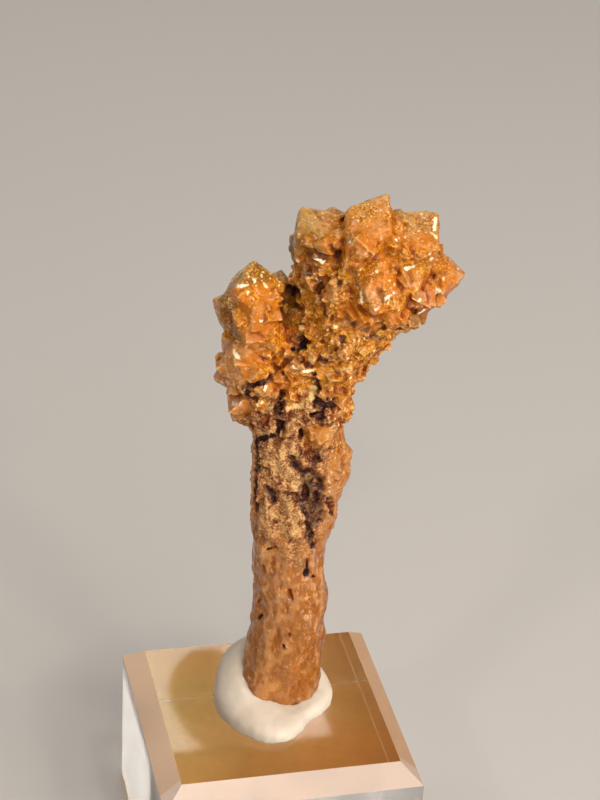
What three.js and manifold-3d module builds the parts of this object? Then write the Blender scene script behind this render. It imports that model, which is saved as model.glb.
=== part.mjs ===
// An orange calcite specimen: a stalactite stalk that forks into two crystal heads, set in a lump of
// white mineral tack on a clear bevelled display block with a sheet of brown paper under it.
// Millimetres, +Z up. The origin is the centre of the underside that the whole display rests on, and
// X and Y run along the block's sides.
import * as THREE from "three";
import { ConvexGeometry } from "three/addons/geometries/ConvexGeometry.js";
import { mergeVertices } from "three/addons/utils/BufferGeometryUtils.js";
import Module from "manifold-3d";

const wasm = await Module();
wasm.setup();
const { Manifold } = wasm;

// Display block and the paper under it.
const BLOCK_SIDE = 30;
const BLOCK_HEIGHT = 20;
const BEVEL_WIDTH = 2.3;
const BEVEL_DROP = 2.1;
const PAPER_SIDE = 30;
const PAPER_THICKNESS = 0.4;
const AIR_GAP = 0.05;
const BLOCK_BOTTOM = PAPER_THICKNESS + AIR_GAP;
const BLOCK_TOP = BLOCK_BOTTOM + BLOCK_HEIGHT;

// Where the specimen stands on the block, and how far it is turned there.
const FOOT_X = 1.3;
const FOOT_Y = 0.8;
const SPECIMEN_TURN = THREE.MathUtils.degToRad(-14);

// The stalk's foot hangs this far above the block, inside the tack. The tack keeps clear of the stalk and
// of the block.
const FOOT_LIFT = 1;
const TACK_CLEARANCE = 0.3;

// How far the middle of a large crystal's face stands out, as a share of its distance from the centre.
const FACE_BULGE = 1.12;

// ---------------------------------------------------------------- solids and random numbers

// A closed three.js geometry as a solid: only positions count, so shared corners are merged first.
function solidOf(geometry) {
  const bare = geometry.clone();
  bare.deleteAttribute("normal");
  bare.deleteAttribute("uv");
  const merged = mergeVertices(bare, 1e-5);
  return new Manifold(
    new wasm.Mesh({
      numProp: 3,
      vertProperties: merged.attributes.position.array,
      triVerts: new Uint32Array(merged.index.array),
    }),
  );
}

// A solid's surface as a flat-shaded three.js geometry.
function geometryOf(solid) {
  const { vertProperties, triVerts, numProp } = solid.getMesh();
  const position = new THREE.BufferAttribute(vertProperties, numProp);
  const geometry = new THREE.BufferGeometry().setAttribute("position", position);
  geometry.setIndex(new THREE.BufferAttribute(triVerts, 1));
  const flat = geometry.toNonIndexed();
  flat.computeVertexNormals();
  return flat;
}

// Repeatable random numbers from 0 to 1.
function randomFrom(seed) {
  let state = seed;
  return () => {
    state = (state + 0x6d2b79f5) | 0;
    let t = Math.imul(state ^ (state >>> 15), 1 | state);
    t = (t + Math.imul(t ^ (t >>> 7), 61 | t)) ^ t;
    return ((t ^ (t >>> 14)) >>> 0) / 4294967296;
  };
}

const between = (low, high, share) => low + (high - low) * share;

// ---------------------------------------------------------------- crystals

// The eight corners of a calcite rhombohedron along +Z: two tips and a zigzag waist of six.
function rhombCorners(radius, halfLength) {
  const corners = [new THREE.Vector3(0, 0, halfLength), new THREE.Vector3(0, 0, -halfLength)];
  for (let k = 0; k < 6; k++) {
    const angle = (k * Math.PI) / 3;
    const rise = (k % 2 ? -1 : 1) * (halfLength / 3);
    corners.push(new THREE.Vector3(radius * Math.cos(angle), radius * Math.sin(angle), rise));
  }
  return corners;
}

// Turns +Z to the direction toward, after a spin about it, and moves to at.
function placing(at, toward, spin) {
  const up = new THREE.Vector3(0, 0, 1);
  const aim = new THREE.Quaternion().setFromUnitVectors(up, new THREE.Vector3(...toward).normalize());
  const twist = new THREE.Quaternion().setFromAxisAngle(up, THREE.MathUtils.degToRad(spin));
  return new THREE.Matrix4().compose(
    new THREE.Vector3(...at),
    aim.multiply(twist),
    new THREE.Vector3(1, 1, 1),
  );
}

// A small crystal: a plain rhombohedron about its centre.
function grain(at, toward, radius, slenderness, spin) {
  const geometry = new ConvexGeometry(rhombCorners(radius, radius * slenderness));
  return solidOf(geometry.applyMatrix4(placing(at, toward, spin)));
}

// A large crystal, hung from its tip: a rhombohedron whose six faces are raised a little at the middle,
// as calcite's curved faces are.
function crystal({ tip, toward, radius, slenderness = 1.15, spin = 0 }) {
  const halfLength = radius * slenderness;
  const corners = rhombCorners(radius, halfLength);
  const [top, bottom, ...waist] = corners;
  waist.forEach((corner, k) => {
    const end = k % 2 ? top : bottom;
    corners.push(corner.clone().add(end).multiplyScalar(0.5 * FACE_BULGE));
  });
  const centre = new THREE.Vector3(...toward).setLength(-halfLength).add(new THREE.Vector3(...tip));
  const place = placing(centre.toArray(), toward, spin);
  return solidOf(new ConvexGeometry(corners).applyMatrix4(place));
}

// ---------------------------------------------------------------- stalk and branches

const STALK_SIDES = 16;
const STALK_RINGS = 24;

// A limb's stations, from its foot up: centre x, y and height z, then half width and half depth.
const STALK = [
  [-0.2, 0.0, FOOT_LIFT, 4.4, 3.6],
  [0.0, 0.0, 4.0, 4.3, 3.6],
  [0.55, 0.0, 9.5, 4.1, 3.6],
  [0.8, 0.0, 15.0, 4.15, 3.6],
  [0.4, 0.1, 19.5, 4.0, 3.6],
  [0.4, 0.2, 22.5, 4.3, 3.8],
  [0.8, 0.3, 26.5, 4.8, 4.0],
  [1.0, 0.3, 31.0, 5.2, 4.1],
  [0.9, 0.2, 34.0, 5.1, 4.1],
  [0.2, 0.0, 38.0, 4.4, 3.9],
  [0.6, 0.0, 42.0, 4.8, 4.1],
  [1.0, 0.0, 46.0, 4.4, 4.0],
  [0.6, 0.1, 50.0, 3.6, 3.6],
  [0.4, 0.2, 53.0, 1.8, 2.2],
];
const LEFT_BRANCH = [
  [-0.8, -0.2, 37.0, 2.4, 2.6],
  [-2.4, -0.4, 42.0, 3.8, 3.6],
  [-3.4, -0.4, 47.0, 3.9, 3.7],
  [-3.9, -0.3, 51.0, 3.0, 3.2],
  [-4.0, -0.3, 54.0, 1.5, 1.8],
];
const RIGHT_BRANCH = [
  [1.8, 0.0, 37.0, 2.6, 3.0],
  [2.0, 0.0, 42.0, 3.7, 4.0],
  [3.4, 0.0, 47.0, 4.7, 4.6],
  [5.8, 0.0, 52.0, 6.1, 5.3],
  [7.3, 0.1, 56.5, 7.2, 5.5],
  [7.8, 0.3, 60.0, 5.8, 4.6],
  [8.0, 0.4, 62.5, 2.8, 2.8],
];

// The centre and half sizes of a limb at t, from 0 at its foot to 1 at its top.
function stationAt(stations, t) {
  const centres = new THREE.CatmullRomCurve3(stations.map(([x, y, z]) => new THREE.Vector3(x, y, z)));
  const sizes = new THREE.CatmullRomCurve3(stations.map(([, , z, w, d]) => new THREE.Vector3(w, d, z)));
  const size = sizes.getPoint(t);
  return { centre: centres.getPoint(t), width: size.x, depth: size.y };
}

// A point on a limb's smooth surface, and the way out from the limb there.
function onLimb(stations, t, angle) {
  const { centre, width, depth } = stationAt(stations, t);
  const point = new THREE.Vector3(width * Math.cos(angle), depth * Math.sin(angle), 0).add(centre);
  const out = new THREE.Vector3(depth * Math.cos(angle), width * Math.sin(angle), 0).normalize();
  return { point, out };
}

// How much a limb's surface swells at a place: a few waves that don't line up with its sides.
function swelling(angle, z) {
  const broad = Math.sin(2 * angle + 0.21 * z) + Math.sin(3 * angle - 0.13 * z + 1.2);
  const fine = Math.sin(5 * angle + 0.9 * z) + Math.sin(7 * angle - 1.3 * z + 0.5);
  return 0.035 * broad + 0.018 * fine;
}

// A limb as a closed solid: a capped cylinder whose rings are moved to the stations' ellipses.
function limb(stations, sides, rings) {
  const bare = new THREE.CylinderGeometry(1, 1, 1, sides, rings);
  bare.rotateX(Math.PI / 2);
  bare.deleteAttribute("normal");
  bare.deleteAttribute("uv");
  const merged = mergeVertices(bare, 1e-5);
  const places = merged.attributes.position;
  const place = new THREE.Vector3();
  for (let i = 0; i < places.count; i++) {
    place.fromBufferAttribute(places, i);
    const reach = Math.hypot(place.x, place.y);
    const angle = Math.atan2(place.y, place.x);
    const { point } = onLimb(stations, place.z + 0.5, angle);
    const { centre } = stationAt(stations, place.z + 0.5);
    const swell = reach * (1 + swelling(angle, point.z));
    place.copy(centre).addScaledVector(point.sub(centre), swell);
    places.setXYZ(i, place.x, place.y, place.z);
  }
  return solidOf(merged);
}

// ---------------------------------------------------------------- the crystals' places

// The large crystals of the two heads, each with its tip, the way that the tip points, its radius, its
// half-length as a share of the radius, and its spin in degrees.
const LARGE_CRYSTALS = [
  // Right head, along its top from left to right.
  { tip: [-0.4, 0.0, 64.8], toward: [-0.5, 0.25, 0.83], radius: 3.4, spin: 0 },
  { tip: [-1.7, 2.6, 60.0], toward: [-0.85, 0.3, 0.4], radius: 2.6, spin: 50 },
  { tip: [3.0, 3.0, 63.6], toward: [-0.1, 0.5, 0.85], radius: 2.3, spin: 90 },
  { tip: [5.5, 3.6, 63.6], toward: [0.0, 0.5, 0.85], radius: 2.3, spin: 20 },
  { tip: [9.0, -0.3, 67.0], toward: [0.42, 0.42, 0.79], radius: 3.4, slenderness: 1.6, spin: 60 },
  { tip: [14.3, -0.5, 65.2], toward: [0.6, 0.35, 0.72], radius: 3.8, slenderness: 1.25, spin: 60 },
  { tip: [17.9, -0.5, 58.0], toward: [0.95, -0.05, 0.3], radius: 3.3, slenderness: 1.25, spin: 30 },
  // Right head, on the front.
  { tip: [5.2, -3.2, 64.0], toward: [-0.45, -0.3, 0.8], radius: 3.0, spin: 0 },
  { tip: [12.6, -4.4, 60.6], toward: [0.45, -0.5, 0.7], radius: 2.6, spin: 60 },
  { tip: [9.6, -5.0, 61.0], toward: [0.0, -0.65, 0.75], radius: 2.4, spin: 20 },
  { tip: [8.3, -6.2, 61.4], toward: [0.1, -0.7, 0.6], radius: 2.3, spin: 80 },
  { tip: [6.8, -8.0, 59.4], toward: [-0.3, -0.8, 0.45], radius: 3.0, spin: 30 },
  { tip: [10.4, -7.3, 57.0], toward: [0.3, -0.85, 0.3], radius: 2.6, spin: 60 },
  { tip: [5.0, -6.6, 54.4], toward: [-0.2, -0.95, 0.0], radius: 2.1, spin: 15 },
  { tip: [8.7, -5.6, 52.9], toward: [0.3, -0.85, -0.3], radius: 2.2, spin: 100 },
  { tip: [3.6, -6.6, 57.0], toward: [-0.2, -0.9, 0.15], radius: 1.7, spin: 60 },
  { tip: [1.5, -4.2, 60.6], toward: [-0.4, -0.75, 0.4], radius: 2.1, spin: 45 },
  { tip: [7.6, -3.9, 48.9], toward: [0.6, -0.7, -0.35], radius: 1.8, spin: 10 },
  { tip: [15.4, -3.0, 55.6], toward: [0.8, -0.5, 0.05], radius: 2.5, spin: 20 },
  { tip: [13.9, -2.6, 52.4], toward: [0.7, -0.4, -0.5], radius: 2.2, spin: 80 },
  { tip: [12.2, -0.5, 50.2], toward: [0.6, -0.2, -0.75], radius: 2.0, spin: 10 },
  // Right head, down its left side beside the notch.
  { tip: [-1.2, -0.4, 56.6], toward: [-0.85, -0.35, 0.4], radius: 2.0, spin: 30 },
  { tip: [0.6, -3.6, 57.8], toward: [-0.45, -0.85, 0.25], radius: 1.6, spin: 75 },
  { tip: [-1.3, 2.4, 54.6], toward: [-0.9, 0.3, 0.3], radius: 1.9, spin: 0 },
  // Right head, on the back.
  { tip: [10.4, 5.8, 62.4], toward: [0.25, 0.65, 0.7], radius: 2.9, spin: 25 },
  { tip: [14.4, 4.4, 60.4], toward: [0.65, 0.6, 0.45], radius: 2.8, spin: 65 },
  { tip: [3.6, 7.4, 57.6], toward: [-0.35, 0.85, 0.3], radius: 2.7, spin: 5 },
  { tip: [8.6, 8.4, 57.2], toward: [0.1, 0.95, 0.2], radius: 3.0, spin: 50 },
  { tip: [13.8, 6.0, 54.6], toward: [0.65, 0.7, -0.1], radius: 2.5, spin: 85 },
  { tip: [15.6, 1.6, 53.2], toward: [0.9, 0.2, -0.35], radius: 2.3, spin: 35 },
  { tip: [7.2, 7.0, 51.0], toward: [0.1, 0.9, -0.4], radius: 2.3, spin: 15 },
  { tip: [0.4, 5.4, 55.4], toward: [-0.7, 0.7, 0.1], radius: 2.1, spin: 70 },
  // Left head, from its top down.
  { tip: [-4.9, -0.8, 58.5], toward: [0.0, 0.2, 0.98], radius: 3.7, slenderness: 1.05, spin: 0 },
  { tip: [-9.5, 2.0, 52.1], toward: [-0.85, 0.45, 0.25], radius: 2.8, spin: 35 },
  { tip: [-7.0, -3.5, 55.8], toward: [-0.55, -0.5, 0.6], radius: 2.1, spin: 45 },
  { tip: [-4.7, -5.5, 55.3], toward: [-0.15, -0.75, 0.6], radius: 2.6, spin: 20 },
  { tip: [-6.9, -4.2, 53.0], toward: [-0.7, -0.6, 0.35], radius: 2.3, spin: 80 },
  { tip: [-5.9, -5.2, 52.3], toward: [-0.4, -0.8, 0.3], radius: 2.1, spin: 0 },
  { tip: [-2.5, -5.2, 50.9], toward: [0.1, -0.9, 0.25], radius: 1.9, spin: 55 },
  { tip: [-6.8, -3.9, 50.0], toward: [-0.45, -0.4, 0.75], radius: 3.6, spin: 60 },
  { tip: [-9.2, 0.2, 43.2], toward: [-0.95, -0.1, -0.1], radius: 2.3, spin: 40 },
  { tip: [-6.8, -1.7, 38.9], toward: [-0.6, -0.3, -0.7], radius: 2.2, spin: 10 },
  { tip: [-2.0, 4.2, 55.2], toward: [0.1, 0.6, 0.8], radius: 2.6, spin: 45 },
  { tip: [-4.4, 6.4, 48.4], toward: [-0.3, 0.9, 0.25], radius: 2.9, spin: 25 },
  { tip: [-8.4, 4.2, 46.6], toward: [-0.8, 0.55, 0.1], radius: 2.5, spin: 80 },
  { tip: [-4.0, 5.2, 41.2], toward: [-0.35, 0.85, -0.4], radius: 2.3, spin: 60 },
  // Below the heads.
  { tip: [6.9, -1.2, 41.2], toward: [0.9, -0.3, 0.0], radius: 2.4, spin: 15 },
  { tip: [3.6, -4.9, 39.4], toward: [0.15, -0.95, 0.25], radius: 1.9, spin: 50 },
  { tip: [0.5, -5.8, 48.4], toward: [0.15, -0.9, 0.3], radius: 2.0, spin: 95 },
  { tip: [4.3, -5.0, 46.2], toward: [0.4, -0.85, 0.1], radius: 1.8, spin: 25 },
  { tip: [-3.8, -5.3, 44.5], toward: [-0.3, -0.9, -0.1], radius: 1.7, spin: 70 },
  { tip: [5.8, 4.2, 41.2], toward: [0.6, 0.7, -0.3], radius: 2.3, spin: 35 },
];

// Bands of small crystals that stand on a limb: the share of the limb's height that a band covers, the
// sector of it in degrees (0 is +X, -90 the front), how many there are, and their radii.
const GRAIN_BANDS = [
  { limb: LEFT_BRANCH, from: 0.1, to: 0.85, sector: [-180, 180], count: 30, radii: [0.8, 1.4], seed: 11 },
  { limb: RIGHT_BRANCH, from: 0.08, to: 0.78, sector: [-180, 180], count: 66, radii: [0.8, 1.4], seed: 23 },
  { limb: STALK, from: 0.71, to: 0.82, sector: [-180, 180], count: 22, radii: [0.8, 1.3], seed: 37 },
  { limb: STALK, from: 0.52, to: 0.7, sector: [-60, 75], count: 20, radii: [0.6, 1.0], seed: 41 },
  { limb: STALK, from: 0.52, to: 0.71, sector: [120, 215], count: 12, radii: [0.5, 0.9], seed: 53 },
];
const GOLDEN_SHARE = 0.618034;

// One band: grains spread evenly by the golden ratio, each leaning a little off the way out.
function band({ limb: stations, from, to, sector, count, radii, seed }) {
  const random = randomFrom(seed);
  const grains = [];
  for (let i = 0; i < count; i++) {
    const t = between(from, to, (i + 0.5) / count);
    const angle = THREE.MathUtils.degToRad(between(...sector, (i * GOLDEN_SHARE) % 1));
    const radius = between(...radii, random() ** 1.5);
    const { point, out } = onLimb(stations, t, angle);
    const lean = new THREE.Vector3(random() - 0.5, random() - 0.5, random() - 0.25);
    const toward = out.clone().addScaledVector(lean, 0.9);
    const centre = point.addScaledVector(out, 0.15 * radius);
    const slenderness = between(0.9, 1.3, random());
    grains.push(grain(centre.toArray(), toward.toArray(), radius, slenderness, 120 * random()));
  }
  return grains;
}

// ---------------------------------------------------------------- the pieces

// All that has grown together is one solid. Pockets sealed between crystals come out of a union as
// shells of their own, and only the outer shell is kept, which fills them.
function grownTogether(solids) {
  const shells = Manifold.union(solids).decompose();
  return shells.reduce((best, shell) => (shell.volume() > best.volume() ? shell : best));
}

const calciteSolid = grownTogether([
  limb(STALK, STALK_SIDES, STALK_RINGS),
  limb(LEFT_BRANCH, 10, 7),
  limb(RIGHT_BRANCH, 12, 8),
  ...LARGE_CRYSTALS.map(crystal),
  ...GRAIN_BANDS.flatMap(band),
]);

// The tack round the foot: at each angle in degrees (0 is +X, -90 the front), how far it reaches from the
// stalk's axis and how high it domes.
const TACK_SHAPE = [
  [-180, 7.7, 5.2],
  [-135, 7.9, 3.4],
  [-90, 8.5, 2.5],
  [-45, 5.5, 1.9],
  [0, 6.3, 2.6],
  [45, 6.7, 4.4],
  [90, 7.3, 6.4],
  [135, 8.2, 7.2],
];
const TACK_SIDES = 40;
const TACK_STEPS = 8;
const TACK_SQUARENESS = 0.75;

// The lump of tack: a dome whose reach and height change smoothly round the stalk, with a hollow that
// clears the stalk's foot.
function tackSolid() {
  const outline = [new THREE.Vector2(0, 0)];
  for (let i = 0; i <= TACK_STEPS; i++) {
    const slope = ((i / TACK_STEPS) * Math.PI) / 2;
    const across = i < TACK_STEPS ? Math.cos(slope) ** TACK_SQUARENESS : 0;
    outline.push(new THREE.Vector2(across, Math.sin(slope) ** TACK_SQUARENESS));
  }
  const lathe = new THREE.LatheGeometry(outline, TACK_SIDES);
  lathe.rotateX(Math.PI / 2);
  const shape = TACK_SHAPE.map(([, reach, height]) => new THREE.Vector3(reach, height, 0));
  const round = new THREE.CatmullRomCurve3(shape, true);
  const places = lathe.attributes.position;
  for (let i = 0; i < places.count; i++) {
    const x = places.getX(i);
    const y = places.getY(i);
    const { x: reach, y: height } = round.getPoint((Math.atan2(y, x) / (2 * Math.PI) + 0.5) % 1);
    const z = TACK_CLEARANCE + places.getZ(i) * (height - TACK_CLEARANCE);
    places.setXYZ(i, x * reach, y * reach, z);
  }
  const roomy = STALK.map(([x, y, z, w, d]) => [x, y, z, w + TACK_CLEARANCE, d + TACK_CLEARANCE]);
  const hollow = limb(roomy, STALK_SIDES, STALK_RINGS).translate([0, 0, -TACK_CLEARANCE]);
  return solidOf(lathe).subtract(hollow);
}

// The clear block: a square prism whose top edges are bevelled.
function blockGeometry() {
  const corners = [];
  const half = BLOCK_SIDE / 2;
  const inner = half - BEVEL_WIDTH;
  for (const x of [-1, 1]) {
    for (const y of [-1, 1]) {
      corners.push(new THREE.Vector3(half * x, half * y, 0));
      corners.push(new THREE.Vector3(half * x, half * y, BLOCK_HEIGHT - BEVEL_DROP));
      corners.push(new THREE.Vector3(inner * x, inner * y, BLOCK_HEIGHT));
    }
  }
  return new ConvexGeometry(corners);
}

const paperGeometry = new THREE.BoxGeometry(PAPER_SIDE, PAPER_SIDE, PAPER_THICKNESS);

const calciteOrange = new THREE.MeshStandardMaterial({ color: 0xc87a35, roughness: 0.35 });
const tackWhite = new THREE.MeshStandardMaterial({ color: 0xeae2d2, roughness: 0.6 });
const clearAcrylic = new THREE.MeshStandardMaterial({
  color: 0xf2f2f0,
  roughness: 0.05,
  transparent: true,
  opacity: 0.3,
});
const paperBrown = new THREE.MeshStandardMaterial({ color: 0xb98450, roughness: 0.8 });

function piece(name, geometry, material) {
  const mesh = new THREE.Mesh(geometry, material);
  mesh.name = name;
  return mesh;
}

const display = new THREE.Group();

const paper = piece("backing_paper", paperGeometry, paperBrown);
paper.position.z = PAPER_THICKNESS / 2;
display.add(paper);

const block = piece("acrylic_block", blockGeometry(), clearAcrylic);
block.position.z = BLOCK_BOTTOM;
display.add(block);

// The specimen and its tack stand on the block together, turned as one.
const specimen = new THREE.Group();
specimen.position.set(FOOT_X, FOOT_Y, BLOCK_TOP);
specimen.rotation.z = SPECIMEN_TURN;
specimen.add(piece("mineral_tack", geometryOf(tackSolid()), tackWhite));
specimen.add(piece("calcite", geometryOf(calciteSolid), calciteOrange));
display.add(specimen);

export default display;
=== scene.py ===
import functools
import itertools
import math

import bmesh
import bpy
import numpy as np
from mathutils import Matrix, Vector
from mathutils.bvhtree import BVHTree


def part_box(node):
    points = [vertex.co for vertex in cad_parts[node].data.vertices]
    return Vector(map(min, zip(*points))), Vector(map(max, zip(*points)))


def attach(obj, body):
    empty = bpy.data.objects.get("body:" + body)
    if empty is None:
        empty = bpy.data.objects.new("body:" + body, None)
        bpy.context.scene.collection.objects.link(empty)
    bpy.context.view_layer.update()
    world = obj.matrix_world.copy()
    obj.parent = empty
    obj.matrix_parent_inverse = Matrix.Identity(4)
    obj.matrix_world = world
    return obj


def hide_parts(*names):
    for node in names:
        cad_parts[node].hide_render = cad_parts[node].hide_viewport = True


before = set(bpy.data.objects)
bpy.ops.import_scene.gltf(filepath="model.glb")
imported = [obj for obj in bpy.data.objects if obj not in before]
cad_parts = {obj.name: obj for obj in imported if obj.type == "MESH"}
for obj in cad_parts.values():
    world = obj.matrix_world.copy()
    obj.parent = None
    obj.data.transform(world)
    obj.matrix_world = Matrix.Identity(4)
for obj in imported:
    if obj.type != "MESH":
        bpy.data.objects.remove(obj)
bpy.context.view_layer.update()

MM = 0.001
scene = bpy.context.scene


# -------------------------------- camera

# Angles in degrees, the lens in millimetres, and distances and places in metres.
CAMERA_AZIMUTH = -14.09
CAMERA_ELEVATION = 30.31
CAMERA_ROLL = 2.98
CAMERA_LENS = 107.7
CAMERA_DISTANCE = 0.26124
CAMERA_TARGET = Vector((0.00182, 0.0, 0.0619))
CAMERA_REACH = (0.01, 20.0)


def make_camera():
    """The camera looks down at the block's front left corner, and is rolled a little."""
    azimuth = math.radians(CAMERA_AZIMUTH)
    elevation = math.radians(CAMERA_ELEVATION)
    roll = math.radians(CAMERA_ROLL)
    back = Vector((
        math.sin(azimuth) * math.cos(elevation),
        -math.cos(azimuth) * math.cos(elevation),
        math.sin(elevation),
    ))
    right = (-back).cross(Vector((0, 0, 1))).normalized()
    up = right.cross(-back)
    rolled_right = math.cos(roll) * right + math.sin(roll) * up
    rolled_up = math.cos(roll) * up - math.sin(roll) * right
    camera = bpy.data.objects.new("camera", bpy.data.cameras.new("camera"))
    camera.data.lens = CAMERA_LENS
    camera.data.clip_start, camera.data.clip_end = CAMERA_REACH
    turn = Matrix((rolled_right, rolled_up, back)).transposed().to_4x4()
    camera.matrix_world = Matrix.Translation(CAMERA_TARGET + back * CAMERA_DISTANCE) @ turn
    scene.collection.objects.link(camera)
    scene.camera = camera


# -------------------------------- node helpers

class Nodes:
    """A short way to write a material's nodes: each call adds a node, links what it is given, and
    returns its main output. Noises and cells have a scale per metre."""

    def __init__(self, name):
        self.material = bpy.data.materials.new(name)
        self.material.use_nodes = True
        self.tree = self.material.node_tree
        self.shader = self.tree.nodes["Principled BSDF"]
        self.at = self.add("ShaderNodeTexCoord", "Object")

    def set(self, socket, value):
        if isinstance(value, bpy.types.NodeSocket):
            self.tree.links.new(value, socket)
        else:
            socket.default_value = value

    def add(self, kind, output=0, inputs=None, **settings):
        node = self.tree.nodes.new(kind)
        for key, value in settings.items():
            setattr(node, key, value)
        for key, value in (inputs or {}).items():
            self.set(node.inputs[key], value)
        return node.outputs[output]

    def math(self, operation, a, b=0.0):
        return self.add("ShaderNodeMath", 0, {0: a, 1: b}, operation=operation)

    def chain(self, operation, values):
        """The operation on the first two values, then on what they give and the third, and so on."""
        return functools.reduce(lambda a, b: self.math(operation, a, b), values)

    def plus(self, *values):
        return self.chain("ADD", values)

    def times(self, *values):
        return self.chain("MULTIPLY", values)

    def most(self, *values):
        return self.chain("MAXIMUM", values)

    def swing(self, noise, amount):
        """The noise, moved to lie about 0 where it lay about 0.5, times the amount."""
        return self.times(self.math("SUBTRACT", noise, 0.5), amount)

    def vector(self, operation, a, **more):
        """Vector maths on a, with b as the other vector or with a scale."""
        names = {"b": 1, "scale": "Scale"}
        inputs = {0: a} | {names[key]: value for key, value in more.items()}
        return self.add("ShaderNodeVectorMath", 0, inputs, operation=operation)

    def axis(self, letter, vector):
        return self.add("ShaderNodeSeparateXYZ", letter, {0: vector})

    def normal(self):
        return self.add("ShaderNodeNewGeometry", "Normal")

    def mix(self, factor, a, b):
        return self.add("ShaderNodeMix", 2, {0: factor, 6: a, 7: b}, data_type="RGBA")

    def ramp(self, value, low, high, to_low=0.0, to_high=1.0):
        return self.add(
            "ShaderNodeMapRange", 0, {0: value, 1: low, 2: high, 3: to_low, 4: to_high}
        )

    def noise(self, at, scale, detail=2.0, roughness=0.5, distortion=0.0, output=0):
        return self.add("ShaderNodeTexNoise", output, {
            "Vector": at, "Scale": scale, "Detail": detail, "Roughness": roughness,
            "Distortion": distortion,
        })

    def cells(self, at, scale, output="Color"):
        return self.add("ShaderNodeTexVoronoi", output, {"Vector": at, "Scale": scale})

    def attribute(self, name):
        return self.add("ShaderNodeAttribute", 2, attribute_name=name)

    def bump(self, height, distance, strength):
        inputs = {"Height": height, "Distance": distance, "Strength": strength}
        return self.add("ShaderNodeBump", 0, inputs)

    def finish(self, **inputs):
        for key, value in inputs.items():
            self.set(self.shader.inputs[key.replace("_", " ")], value)
        return self.material


def rgb(red, green, blue):
    """A colour given as the usual 0 to 255 display values."""
    def linear(c):
        c /= 255
        return c / 12.92 if c <= 0.04045 else ((c + 0.055) / 1.055) ** 2.4
    return (linear(red), linear(green), linear(blue), 1.0)


# -------------------------------- floor and light

# All places and widths here are in metres, and powers in watts.
FLOOR_SIZE = 8.0
LAMPS_LOOK_AT = Vector((0.003, 0, 0.055))
# Each lamp's name, place, power, width and colour.
LAMPS = [
    ("key", (0.42, -0.82, 0.55), 11.8, 1.15, (1.0, 0.96, 0.91)),
    ("window", (0.2, -0.62, 0.42), 1.1, 0.45, (1.0, 0.96, 0.91)),
    ("fill", (-0.4, -0.5, 0.3), 0.2, 0.4, (1.0, 0.98, 0.96)),
    ("top", (0.0, 0.08, 0.92), 2.0, 0.32, (1.0, 0.98, 0.95)),
    ("rim", (-0.85, 0.75, 0.3), 2.5, 0.6, (1.0, 0.97, 0.93)),
]
# Small lamps that the crystals' faces glint with.
SPARKS = [
    (0.22, -0.6, 0.5), (0.5, -0.4, 0.4), (-0.12, -0.6, 0.62),
    (0.12, -0.35, 0.8), (0.36, -0.62, 0.14), (-0.42, -0.4, 0.5),
]
SPARK_POWER = 0.5
SPARK_SIZE = 0.045
SPARK_COLOR = (1.0, 0.95, 0.84)
# The studio all round: its colour, and how bright its walls are below the first height and its
# ceiling above the second. A height is the upward part of the direction to there.
WALL_COLOR = (1.0, 0.97, 0.93, 1)
WALL_TOP, CEILING_START = 0.15, 0.35
WALL_LIGHT, CEILING_LIGHT = 0.5, 0.08


def make_stage():
    """A plain pale floor."""
    bpy.ops.mesh.primitive_plane_add(size=FLOOR_SIZE, location=(0, 0, 0))
    floor = bpy.context.object
    floor.name = "floor"
    n = Nodes("floor")
    tone = n.noise(n.at, 3.0, 2.0)
    floor.data.materials.append(n.finish(
        Base_Color=n.mix(tone, rgb(191, 185, 180), rgb(198, 192, 187)), Roughness=0.85,
    ))


def area_light(name, at, power, size, color):
    """A square soft light that looks at the specimen's middle."""
    light = bpy.data.lights.new(name, "AREA")
    light.energy = power
    light.size = size
    light.color = color
    lamp = bpy.data.objects.new(name, light)
    lamp.location = at
    lamp.rotation_mode = "QUATERNION"
    lamp.rotation_quaternion = (Vector(at) - LAMPS_LOOK_AT).to_track_quat("Z", "Y")
    scene.collection.objects.link(lamp)


def make_light():
    """The studio all round, its lamps, and the way that colours are shown."""
    world = bpy.data.worlds.new("studio")
    world.use_nodes = True
    tree = world.node_tree
    background = tree.nodes["Background"]
    background.inputs["Color"].default_value = WALL_COLOR
    height = tree.nodes.new("ShaderNodeSeparateXYZ")
    tree.links.new(tree.nodes.new("ShaderNodeTexCoord").outputs["Generated"], height.inputs[0])
    fade = tree.nodes.new("ShaderNodeMapRange")
    tree.links.new(height.outputs["Z"], fade.inputs[0])
    for i, value in enumerate((WALL_TOP, CEILING_START, WALL_LIGHT, CEILING_LIGHT), 1):
        fade.inputs[i].default_value = value
    tree.links.new(fade.outputs[0], background.inputs["Strength"])
    scene.world = world
    for lamp in LAMPS:
        area_light(*lamp)
    for i, place in enumerate(SPARKS):
        area_light("spark_%d" % i, place, SPARK_POWER, SPARK_SIZE, SPARK_COLOR)
    scene.view_settings.view_transform = "Standard"


# -------------------------------- where the calcite's features are

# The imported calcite's box, in millimetres. All places below are in hundredths of its three sides, and
# all radii and widths are in millimetres.
CALCITE = [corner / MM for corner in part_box("calcite")]
# How far up the calcite, as a share of its height, the two branches part.
FORK = 0.55


def in_calcite(across, deep, up):
    """The place, in millimetres, that is this many hundredths along each side of the calcite's box."""
    low, high = CALCITE
    return np.array([low[i] + (high[i] - low[i]) * (s / 100) for i, s in enumerate((across, deep, up))])


# The lines that the stalk and its two branches follow.
LINES = [[in_calcite(*place) for place in line] for line in (
    ((37, 58, 0), (38, 56, 30), (38, 53, 62)),
    ((38, 53, 55), (20, 56, 72), (16, 56, 80)),
    ((38, 53, 55), (52, 47, 76), (66, 40, 90)),
)]
# Where the heads carry only small crystals, each a middle and a radius.
DRUSE_PLACES = [
    ((36, 37, 86), 2.6), ((40, 28, 80), 3.0), ((39, 28, 75), 3.4), ((47, 30, 68), 4.2),
    ((56, 30, 71), 3.2), ((30, 32, 68), 2.4),
]
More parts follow.
